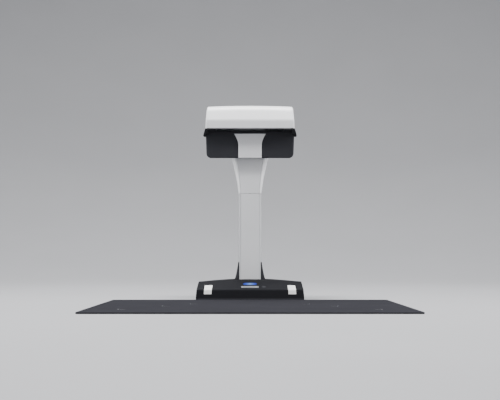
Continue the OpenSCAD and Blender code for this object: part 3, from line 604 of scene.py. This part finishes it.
def base_cover():
    cover = base_body("base_cover_shell", 0.0)
    side, front, back = COLUMN_B + 0.3 * MM, COLUMN_Y - 0.3 * MM, COLUMN_BACK + 0.3 * MM
    slot = [(-side, front, 2 * MM), (side, front, 2 * MM), (side, back, 9 * MM), (-side, back, 9 * MM)]
    cutters = [
        box("rim", (-1, -1, -1), (1, 1, RIM)),
        prism("slot", slot, BASE_TOP - 12 * MM, BASE_TOP + 10 * MM, 0.1 * MM, upward),
        key_block("scan_hole", "scan_key", 2.2 * MM, 0.2 * MM, -8 * MM, 4 * MM, 0.3 * MM),
        key_block("light_hole", "status_light", 4.6 * MM, 0.2 * MM, -8 * MM, 4 * MM, 0.02 * MM),
        stop_hole(),
        *reference_pockets(),
        *rear_openings(),
        base_body("inside", WALL),
    ]
    cut(cover, cutters)
    soften(cover, 0.3 * MM, 45)
    paint(cover, "dark_base")
    return stands_for(cover, HOME, "base_cover")


def stop_hole():
    lo, hi = slope_box("stop_key")
    radius = (hi.x - lo.x) / 2 - 1.2 * MM + 0.3 * MM
    hole = lathe("stop_hole", [(0, -8 * MM), (radius, -8 * MM), (radius, 4 * MM), (0, 4 * MM)])
    return moved(hole, slope_matrix() @ Matrix.Translation(((lo.x + hi.x) / 2, (lo.y + hi.y) / 2, 0)))


def reference_band(node, inset, above, name):
    """The thin band of a white reference, from the front face over the edge and up the slope."""
    lo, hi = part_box(node)
    rise = Vector((0, math.cos(SLOPE), math.sin(SLOPE)))
    out = Vector((0, -math.sin(SLOPE), math.cos(SLOPE)))
    length = (hi.z - PANEL_EDGE) / math.sin(SLOPE)
    start = Vector((0, FRONT, lo.z))
    end = Vector((0, FRONT, PANEL_EDGE)) + rise * length
    fillet = rounded_ring(base_corners(RIM - 12 * MM), 0, 10)[-11:]
    line = [end] + [Vector((0, FRONT + p.x, p.y)) for p in fillet] + [start]
    ahead = Vector((0, -1, 0))
    normals = [out] + [out.lerp(ahead, k / 10).normalized() for k in range(11)] + [ahead]
    rings = []
    for x, gap in ((lo.x, inset), (lo.x + inset * 0.3, inset * 0.3), (lo.x + inset, 0),
                   (hi.x - inset, 0), (hi.x - inset * 0.3, inset * 0.3), (hi.x, inset)):
        top = [Vector((x, p.y, p.z)) + n * (above - gap) for p, n in zip(line, normals)]
        bottom = [Vector((x, p.y, p.z)) - n * 0.8 * MM for p, n in zip(line, normals)]
        rings.append([base_crown(p) for p in top + bottom[::-1]])
    return loft(name, rings, 25)


def reference_pockets():
    return [reference_band(node, 0.0, 2 * MM, "pocket")
            for node in ("white_reference_left", "white_reference_right")]


def white_references():
    for node in ("white_reference_left", "white_reference_right"):
        patch = reference_band(node, 0.25 * MM, 0.05 * MM, node + "_patch")
        paint(patch, "reference_white")
        stands_for(patch, HOME, node)


def rear_openings():
    """Openings in the base's rear wall: data socket, power inlet, lock slot and vents."""
    back = FRONT + BASE_DEPTH
    usb_low, usb_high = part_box("usb_socket")
    inlet_low, inlet_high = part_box("power_inlet")
    middle = (inlet_low.x + inlet_high.x) / 2
    gap = 0.1 * MM
    near, far = back - 4 * MM, back + 4 * MM
    holes = [box("usb", (usb_low.x - gap, near, usb_low.z - 0.2 * MM),
                 (usb_high.x + gap, far, usb_high.z + 0.6 * MM)),
             box("lock", (-80 * MM, near, 14 * MM), (-73 * MM, far, 17 * MM))]
    inlet = lathe("inlet", [(0, -4 * MM), (4.6 * MM, -4 * MM), (4.6 * MM, 4 * MM), (0, 4 * MM)])
    facing_back = Matrix.Rotation(math.pi / 2, 4, "X")
    holes.append(moved(inlet, Matrix.Translation((middle, back, 26 * MM)) @ facing_back))
    for k in range(10):
        x = (-60 + 3.6 * k) * MM
        corners = [(x, 12 * MM, 0.7 * MM), (x + 1.6 * MM, 12 * MM, 0.7 * MM),
                   (x + 1.6 * MM, 24 * MM, 0.7 * MM), (x, 24 * MM, 0.7 * MM)]
        holes.append(prism("vent", corners, near, far, 0.05 * MM, rearward))
    return holes


def keys():
    scan = key_block("scan_key_cap", "scan_key", 2.0 * MM, 0.5 * MM, -3.5 * MM, 0.9 * MM, dish=0.25 * MM)
    paint(scan, "key_grey")
    stands_for(scan, "scan_button", "scan_key")
    lo, hi = slope_box("stop_key")
    radius = (hi.x - lo.x) / 2 - 1.2 * MM
    turned = [(0, -3.5), (5.6, -3.5), (5.6, -2.6), (4.5, -2.5), (4.5, 0.5), (4.35, 0.78), (4.1, 0.9), (3.4, 0.86),
              (2.4, 0.74), (1.2, 0.66), (0.3, 0.64), (0, 0.64)]
    stop = lathe("stop_key_cap", [(r * radius / 4.5, z * MM) for r, z in turned])
    moved(stop, slope_matrix() @ Matrix.Translation(((lo.x + hi.x) / 2, (lo.y + hi.y) / 2, 0)))
    paint(stop, "dark_shell")
    stands_for(stop, "stop_button", "stop_key")
    light = key_block("status_light_bar", "status_light", 4.6 * MM, 0.3 * MM, -2.2 * MM, 0.25 * MM)
    paint(light, "status_blue")
    stands_for(light, HOME, "status_light")


def feet():
    lo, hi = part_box("rubber_feet")
    radius = 8 * MM
    made = []
    for x in (lo.x + radius, hi.x - radius):
        for y in (lo.y + radius, hi.y - radius):
            profile = [(0, 0), (1.5, 0.4), (3, 0.15), (4.5, 0), (7.2, 0), (7.8, 0.35), (8, 0.9), (8, 3), (0, 3)]
            foot = lathe("foot", [(max(r, 0.05) * MM, z * MM) for r, z in profile])
            made.append(moved(foot, Matrix.Translation((x, y, 0))))
    whole = paint(joined("rubber_feet_set", made), "rubber")
    stands_for(whole, HOME, "rubber_feet")


# ---------- Column and neck ----------

def neck_share(z):
    return max(0, (z - SEAM) / (NECK_TOP - SEAM))


def front_half(z):
    return COLUMN_A + 8.4 * MM * neck_share(z) ** 1.85


def side_half(z):
    return COLUMN_B + 13.7 * MM * neck_share(z) ** 1.35


def rear_line(z):
    return COLUMN_BACK + 8 * MM * neck_share(z) ** 1.8


def underside(y):
    """Height of the head's underside at this depth behind the base's front."""
    return HEAD_LOW + 5 * MM + (y - HOUSING_Y - 5 * MM) * math.tan(RISE) - 5 * MM / math.cos(RISE)


def half_outline(a, b, y0, y1, grow=0.0, front_steps=10):
    """The right half of the column's plan outline, from the flat front round to the back."""
    points = []
    for k in range(front_steps + 1):
        t = math.pi / 2 * k / front_steps
        points.append(Vector((a + (b - a + grow) * math.sin(t),
                              y0 - grow + (11 * MM + grow) * (1 - math.cos(t)))))
    radius = 10 * MM + grow
    for k in range(11):
        t = math.pi / 2 * k / 10
        points.append(Vector((b - 10 * MM + radius * math.cos(t), y1 - 10 * MM + radius * math.sin(t))))
    return points


def c_ring(z, grow, thick, lip):
    """A C-shaped section, open at the front: outline outside, and the same one moved in by thick."""
    a, b, back = front_half(z), side_half(z), rear_line(z)
    outer = half_outline(a, b, COLUMN_Y, back, grow)
    inner = half_outline(a, b, COLUMN_Y, back, grow - thick)
    inner = [Vector((p.x, max(p.y, outer[0].y + lip))) for p in inner]
    right = outer
    left = [Vector((-p.x, p.y)) for p in reversed(outer)]
    inside = [Vector((-p.x, p.y)) for p in inner] + list(reversed(inner))
    return [Vector((p.x, FRONT + p.y, z)) for p in right + left + inside]


def c_shell(name, levels, grow=lambda z: 0.0, thick=2 * MM, lip=2 * MM):
    """A C-shaped shell through several heights, closed at both ends."""
    rings = [c_ring(z, grow(z), thick + grow(z) - grow(levels[-1]), lip) for z in levels]
    return loft(name, rings, 40, caps=True)


def spaced(start, end, count):
    return [start + (end - start) * k / count for k in range(count + 1)]


def rounded_edge(half, front, radius, steps):
    """A panel's rounded left edge, seen from above, from its side round to its front."""
    points = []
    for k in range(steps + 1):
        t = math.pi / 2 * k / steps
        points.append(Vector((-half + radius * (1 - math.cos(t)), front + radius * (1 - math.sin(t)))))
    return points


def mirrored(points):
    """The same points on the other side, in the opposite order."""
    return [Vector((-p.x, p.y)) for p in reversed(points)]


def panel(name, z0, z1, count):
    """The grey front panel: a slightly crowned plate with rounded long edges."""
    front = COLUMN_Y
    edge, crown = 0.8 * MM, 0.25 * MM
    rings = []
    for z in spaced(z0, z1, count):
        half = front_half(z) - 0.15 * MM
        ring = rounded_edge(half, front + crown, edge, 4)
        for k in range(1, 12):
            u = -1 + 2 * k / 12
            ring.append(Vector((u * (half - edge), front + crown * u * u)))
        ring += mirrored(rounded_edge(half, front + crown, edge, 4))
        ring += [Vector((half, front + 2.2 * MM)), Vector((-half, front + 2.2 * MM))]
        rings.append([Vector((p.x, FRONT + p.y, z)) for p in ring])
    return loft(name, rings, 40)


def column():
    foot = low("column_rear_cover").z
    shell = c_shell("column_shell", spaced(foot, SEAM - 0.5 * MM, 6))
    # The column's cover takes the darker silver, which paints in the shade on its sides
    paint(shell, "grey_cover")
    stands_for(shell, HOME, "column_rear_cover")
    front = panel("column_panel", foot, SEAM - 0.5 * MM, 6)
    paint(front, "grey_panel")
    stands_for(front, HOME, "column_front_cover")
    neck = c_shell("neck_flare", spaced(SEAM, NECK_END + 1 * MM, 30))
    cut(neck, [above_neck()], sharp=40)
    paint(neck, "white_shell")
    stands_for(neck, HOME, "neck_shell")
    upper = panel("neck_panel", SEAM + 0.1 * MM, underside(COLUMN_Y) - 0.1 * MM, 28)
    paint(upper, "grey_panel")
    stands_for(upper, HOME, "neck_front_panel")


def above_neck():
    """A wedge over the head's rising underside."""
    profile = [(HOUSING_Y, underside(HOUSING_Y)), (HEAD_BACK + 0.03, underside(HEAD_BACK + 0.03)),
               (HEAD_BACK + 0.03, HEAD_TOP), (HOUSING_Y, HEAD_TOP)]
    return loft("wedge", [[across(x, u, v) for u, v in profile] for x in (-0.1, 0.1)])


def boot():
    """The dark boot: a C-shaped collar whose sides and back flare out towards the base."""
    hi = high("column_boot")
    flare = hi.x - COLUMN_B - 0.3 * MM
    rings = []
    count = 18
    for k in range(count + 1):
        t = k / count
        z = BASE_TOP - 1.2 * MM + (hi.z - BASE_TOP + 1.2 * MM) * t
        out = 0.35 * MM + flare * (0.78 * (1 - t) ** 1.15 + 0.22 * (1 - t) ** 8)
        outer = boot_half(out)
        inner = boot_half(0.1 * MM)
        inside = [Vector((-p.x, p.y)) for p in inner] + list(reversed(inner))
        rings.append([Vector((p.x, FRONT + p.y, z)) for p in outer + mirrored(outer) + inside])
    collar = loft("column_boot_collar", rings, 45)
    paint(collar, "dark_shell")
    stands_for(collar, HOME, "column_boot")


def boot_half(out):
    """The right half of the boot's outline, moved out from the column but for its front edge."""
    edge = Vector((21.9 * MM, COLUMN_Y + 1.35 * MM - min(out, 0.4 * MM)))
    b, back = COLUMN_B, COLUMN_BACK
    points = []
    for k in range(9):
        t = math.pi / 2 * k / 8
        points.append(Vector((edge.x + (b + out - edge.x) * math.sin(t),
                              edge.y + 10 * MM * (1 - math.cos(t)))))
    radius = 10 * MM + out
    for k in range(11):
        t = math.pi / 2 * k / 10
        points.append(Vector((b - 10 * MM + radius * math.cos(t),
                              back - 10 * MM + radius * math.sin(t))))
    return points


# ---------- Head ----------

def bonnet_corners(bottom):
    """The top cover's outline from the side: depth, height and corner radius."""
    drop = LIP - bottom
    return [(7.2 * MM + drop * 0.45, bottom, 0.4 * MM), (HEAD_BACK, bottom, 0.4 * MM),
            (HEAD_BACK, HEAD_TOP - 5 * MM, 20 * MM), (HEAD_BACK * 0.5, HEAD_TOP, 500 * MM),
            (6.2 * MM, HEAD_TOP, 17 * MM), (0.1 * MM, LIP + 15.5 * MM, 10 * MM)]


def bonnet_bend(p):
    """Narrows the top cover upwards and crowns its top across."""
    rise = (p.z - LIP) / (HEAD_TOP - LIP)
    z = p.z - 1.9 * MM * (p.x / HEAD_HALF) ** 2 * min(1, max(0, rise - 0.3) / 0.5)
    return Vector((p.x * (1 - 0.042 * (z - LIP) / (HEAD_TOP - LIP)), p.y, z))


def bonnet_body(name, inset):
    """The top cover as a solid, or the room inside it when inset is given."""
    edge = 1.6 * MM if inset else 3.6 * MM
    return prism(name, bonnet_corners(LIP - 10 * MM), -HEAD_HALF, HEAD_HALF, edge, across,
                 inner=20, steps=9, bend=bonnet_bend, inset=inset)


def top_cover():
    cover = bonnet_body("head_cover", 0.0)
    cut(cover, [box("rim", (-1, -1, 0), (1, 1, LIP)), bonnet_body("inside", WALL)])
    soften(cover, 0.3 * MM, 45)
    paint(cover, "white_shell")
    stands_for(cover, HOME, "head_top_cover")


def housing_bend(p):
    """Lifts the housing's underside towards the rear."""
    behind = max(0, p.y - FRONT - HOUSING_Y - 3 * MM)
    return Vector((p.x, p.y, p.z + behind * math.tan(RISE)))


def housing_body(name, inset):
    """Sections of the housing one behind another, rounded into its front and rear faces."""
    half = HEAD_HALF + 2.0 * MM
    depth = HEAD_BACK - HOUSING_Y
    narrow = half - 2.4 * MM
    corners = [(-narrow, HEAD_LOW, 9.5 * MM), (narrow, HEAD_LOW, 9.5 * MM), (half, LIP + 12 * MM, 0.4 * MM),
               (-half, LIP + 12 * MM, 0.4 * MM)]
    rings = []
    for share in range(8):
        a = math.pi / 2 * share / 7
        rings.append((HOUSING_Y + 3.2 * MM * (1 - math.cos(a)), 3.2 * MM * (1 - math.sin(a))))
    for share in range(1, 8):
        rings.append((HOUSING_Y + (HEAD_BACK - HOUSING_Y - 12 * MM) * share / 8 + 3 * MM, 0))
    for share in range(9):
        a = math.pi / 2 * share / 8
        rings.append((HEAD_BACK - 9 * MM + 9 * MM * math.sin(a), 9 * MM * (1 - math.cos(a))))
    made = []
    for y, gap in rings:
        gap += inset
        y = HOUSING_Y + inset + (y - HOUSING_Y) * (depth - 2 * inset) / depth
        made.append([housing_bend(Vector((p.x, FRONT + y, p.y))) for p in rounded_ring(corners, gap, 9)])
    return loft(name, made)


def housing():
    body = housing_body("housing_shell", 0.0)
    back = FRONT + HEAD_BACK
    slots = []
    for k in range(12):
        x = (-44 + 8 * k) * MM
        corners = [(x - 1.5 * MM, LIP - 22 * MM, 1.4 * MM), (x + 1.5 * MM, LIP - 22 * MM, 1.4 * MM),
                   (x + 1.5 * MM, LIP - 8 * MM, 1.4 * MM), (x - 1.5 * MM, LIP - 8 * MM, 1.4 * MM)]
        slots.append(prism("vent", corners, back - 5 * MM, back + 5 * MM, 0.05 * MM, rearward))
    for x in (-78 * MM, 78 * MM):
        for y in (90 * MM, 138 * MM):
            hole = lathe("well", [(0, -4 * MM), (3.5 * MM, -4 * MM), (3.5 * MM, 24 * MM), (0, 24 * MM)])
            slots.append(moved(hole, Matrix.Translation((x, FRONT + y, HEAD_LOW))))
    column_hole = box("pass", (-25 * MM, FRONT + COLUMN_Y + 0.5 * MM, HEAD_LOW - 5 * MM),
                      (25 * MM, FRONT + COLUMN_BACK, HEAD_LOW + 16 * MM))
    rim = box("rim", (-1, -1, LIP), (1, 1, 1))
    cut(body, [rim, housing_body("inside", WALL), *slots, column_hole])
    soften(body, 0.3 * MM, 45)
    paint(body, "dark_shell")
    stands_for(body, HOME, "head_housing")


def chin():
    """The light panel on the housing's front, flared at the top, with rounded edges."""
    lo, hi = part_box("chin_panel")
    narrow, wide = 23.3 * MM, hi.x
    turn = hi.z - 22 * MM
    levels = spaced(lo.z, turn, 8) + spaced(turn, hi.z, 20)[1:]
    rings = []
    for z in levels:
        share = max(0, (z - turn) / (hi.z - turn))
        half = narrow + (wide - narrow) * share ** 1.6
        left = rounded_edge(half, lo.y, 1.1 * MM, 5)
        ring = left + mirrored(left) + [Vector((half, hi.y)), Vector((-half, hi.y))]
        rings.append([Vector((p.x, p.y, z)) for p in ring])
    plate = loft("chin_plate", rings, 40)
    paint(plate, "grey_panel")
    stands_for(plate, HOME, "chin_panel")


def bezel():
    """The dark underside plate with its three windows, and the wings along the head's sides."""
    lo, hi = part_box("window_bezel")
    half = HEAD_HALF - WALL - 0.2 * MM
    front = 6.6 * MM
    back = HOUSING_Y + 2 * MM
    outline = [(-half, front, 2 * MM), (half, front, 2 * MM), (half, back, 2 * MM), (-half, back, 2 * MM)]
    plate = prism("plate", outline, LIP + 0.05 * MM, LIP + 2.5 * MM, 0.3 * MM, upward)
    holes = []
    for node in ("lens_window", "lamp_window_left", "lamp_window_right"):
        a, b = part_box(node)
        y0, y1 = a.y - FRONT, b.y - FRONT
        corners = [(a.x, y0, 3 * MM), (b.x, y0, 3 * MM), (b.x, y1, 3 * MM), (a.x, y1, 3 * MM)]
        rings = []
        for z, grow in ((LIP - 1 * MM, 1.6 * MM), (LIP + 0.6 * MM, 0.0), (LIP + 4 * MM, 0.0)):
            rings.append([upward(z, p.x, p.y) for p in rounded_ring(corners, -grow, 6)])
        holes.append(loft("hole", rings))
    cut(plate, holes)
    wings = [wing(1, lo, hi), wing(-1, lo, hi)]
    whole = joined("window_surround", [plate, *wings])
    shade(whole, 35)
    paint(whole, "black_plastic")
    stands_for(whole, HOME, "window_bezel")


def wing(side, lo, hi):
    """A thin blade that sweeps out and down from the head's side and dies away towards the back."""
    reach = hi.x - HEAD_HALF
    drop = LIP - lo.z
    start, peak, end = 3 * MM, HOUSING_Y - 3 * MM, 128 * MM
    rings = []
    for k in range(45):
        y = start + (end - start) * k / 44
        share = (y - start) / (peak - start) if y < peak else (end - y) / (end - peak)
        share = min(1, max(0, share))
        swell = math.sin(share * math.pi / 2) ** 1.3 if y < peak else share * share * (3 - 2 * share)
        root = HEAD_HALF - 0.5 * MM
        out, down = reach * swell, drop * swell
        section = [(root - 4 * MM, 0), (root, 0), (root + out * 0.45 + 0.25 * MM, down * 0.18),
                   (root + out * 0.8 + 0.3 * MM, down * 0.48), (root + out + 0.4 * MM, down * 0.97),
                   (root + out - 0.3 * MM, down * 0.99 + 0.05 * MM),
                   (root + out * 0.62 - 0.5 * MM, down * 0.62 + 0.25 * MM),
                   (root + out * 0.3 - 1.4 * MM, down * 0.42 + 0.4 * MM),
                   (root - 4 * MM, down * 0.36 + 0.4 * MM)]
        rings.append([Vector((side * x, FRONT + y, LIP - z)) for x, z in section])
    return loft("wing", rings, 50)


# ---------- Mat ----------

def mat():
    lo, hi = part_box("mat_sheet")
    under_low, under_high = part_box("mat_backing")
    corner = 6 * MM
    corners = [(lo.x, lo.y, corner), (hi.x, lo.y, corner), (hi.x, hi.y, corner), (lo.x, hi.y, corner)]

    def slab(name, z0, z1, edge):
        reach = min(hi.x - lo.x, hi.y - lo.y) / 2 - 1 * MM
        shares = [(z0, edge), (z0 + edge, 0.0), (z1 - edge, 0.0), (z1 - 0.3 * edge, 0.3 * edge), (z1, edge)]
        shares += [(z1, edge + reach * s) for s in (0.02, 0.06, 0.15, 0.3, 0.5, 0.75, 0.99)]
        rings = []
        for z, inset in shares:
            rings.append([Vector((p.x, p.y, z)) for p in rounded_ring(corners, inset, 8)])
        return loft(name, rings, 50)

    top = slab("mat_top_sheet", lo.z, hi.z, 0.25 * MM)
    paint(top, "mat_sheet")
    stands_for(top, "mat", "mat_sheet")
    foam = slab("mat_foam", under_low.z, under_high.z, 0.3 * MM)
    paint(foam, "mat_backing")
    stands_for(foam, "mat", "mat_backing")


# ---------- Stage, light and camera ----------

def stage():
    """A pale floor that curves up into a round wall far behind, open at the top."""
    start, radius = 1.3, 3.0
    profile = [(0.001, 0.0), (0.6, 0.0), (start, 0.0)]
    for k in range(1, 25):
        a = math.pi / 2 * k / 24
        profile.append((start + radius * math.sin(a), radius * (1 - math.cos(a))))
    profile += [(start + radius, radius + 0.8)]
    count = 96
    turns = [2 * math.pi * k / count for k in range(count)]
    points = [Vector((r * math.cos(t), r * math.sin(t), z)) for r, z in profile for t in turns]
    faces = []
    for j in range(len(profile) - 1):
        for k in range(count):
            n = (k + 1) % count
            faces.append((j * count + k, j * count + n, (j + 1) * count + n, (j + 1) * count + k))
    floor = finish_mesh("floor", points, faces, 60)
    floor.data.flip_normals()
    look = Look("floor_paint", roughness=0.6)
    look.colour(look.ramp(look.noise(3, 3), [(0.3, (0.36, 0.362, 0.377)), (0.7, (0.372, 0.374, 0.389))]))
    floor.data.materials.append(look.material)


def lamp(name, place, size, power, target=(0, 0.12, 0.2)):
    data = bpy.data.lights.new(name, "AREA")
    data.shape = "RECTANGLE"
    data.size, data.size_y = size
    data.energy = power
    thing = bpy.data.objects.new(name, data)
    thing.location = place
    thing.rotation_euler = (Vector(target) - Vector(place)).to_track_quat("-Z", "Y").to_euler()
    bpy.context.scene.collection.objects.link(thing)


def lights():
    world = bpy.data.worlds.new("studio")
    world.use_nodes = True
    world.node_tree.nodes["Background"].inputs["Color"].default_value = (0.95, 0.975, 1, 1)
    world.node_tree.nodes["Background"].inputs["Strength"].default_value = 0.22
    bpy.context.scene.world = world
    lamp("top", (-0.1, -0.1, 2.4), (1.6, 1.0), 130)
    lamp("front", (0.0, -2.6, 2.1), (2.4, 0.8), 44)
    lamp("left", (-1.9, -0.5, 0.7), (0.7, 1.2), 34)
    lamp("right", (1.9, -0.5, 0.7), (0.7, 1.2), 38)
    lamp("rear", (0.0, 2.2, 1.7), (2.0, 0.8), 10)
    lamp("wall", (0.0, 1.6, 2.4), (1.2, 0.6), 22, (0, 3.9, 1.0))


def camera():
    """A long lens in front of the scanner, a little above the desk and tilted slightly up."""
    data = bpy.data.cameras.new("camera")
    data.sensor_width = 36
    data.lens = 61.7
    data.clip_start, data.clip_end = 0.05, 50
    thing = bpy.data.objects.new("camera", data)
    thing.location = (0, FRONT - 1.663, 0.09)
    thing.rotation_euler = (math.radians(90 + 3.62), 0, 0)
    bpy.context.scene.collection.objects.link(thing)
    bpy.context.scene.camera = thing


# ---------- Making ----------

camera()
lights()
stage()
dress_frame()
base_cover()
white_references()
keys()
feet()
column()
boot()
top_cover()
housing()
chin()
bezel()
mat()
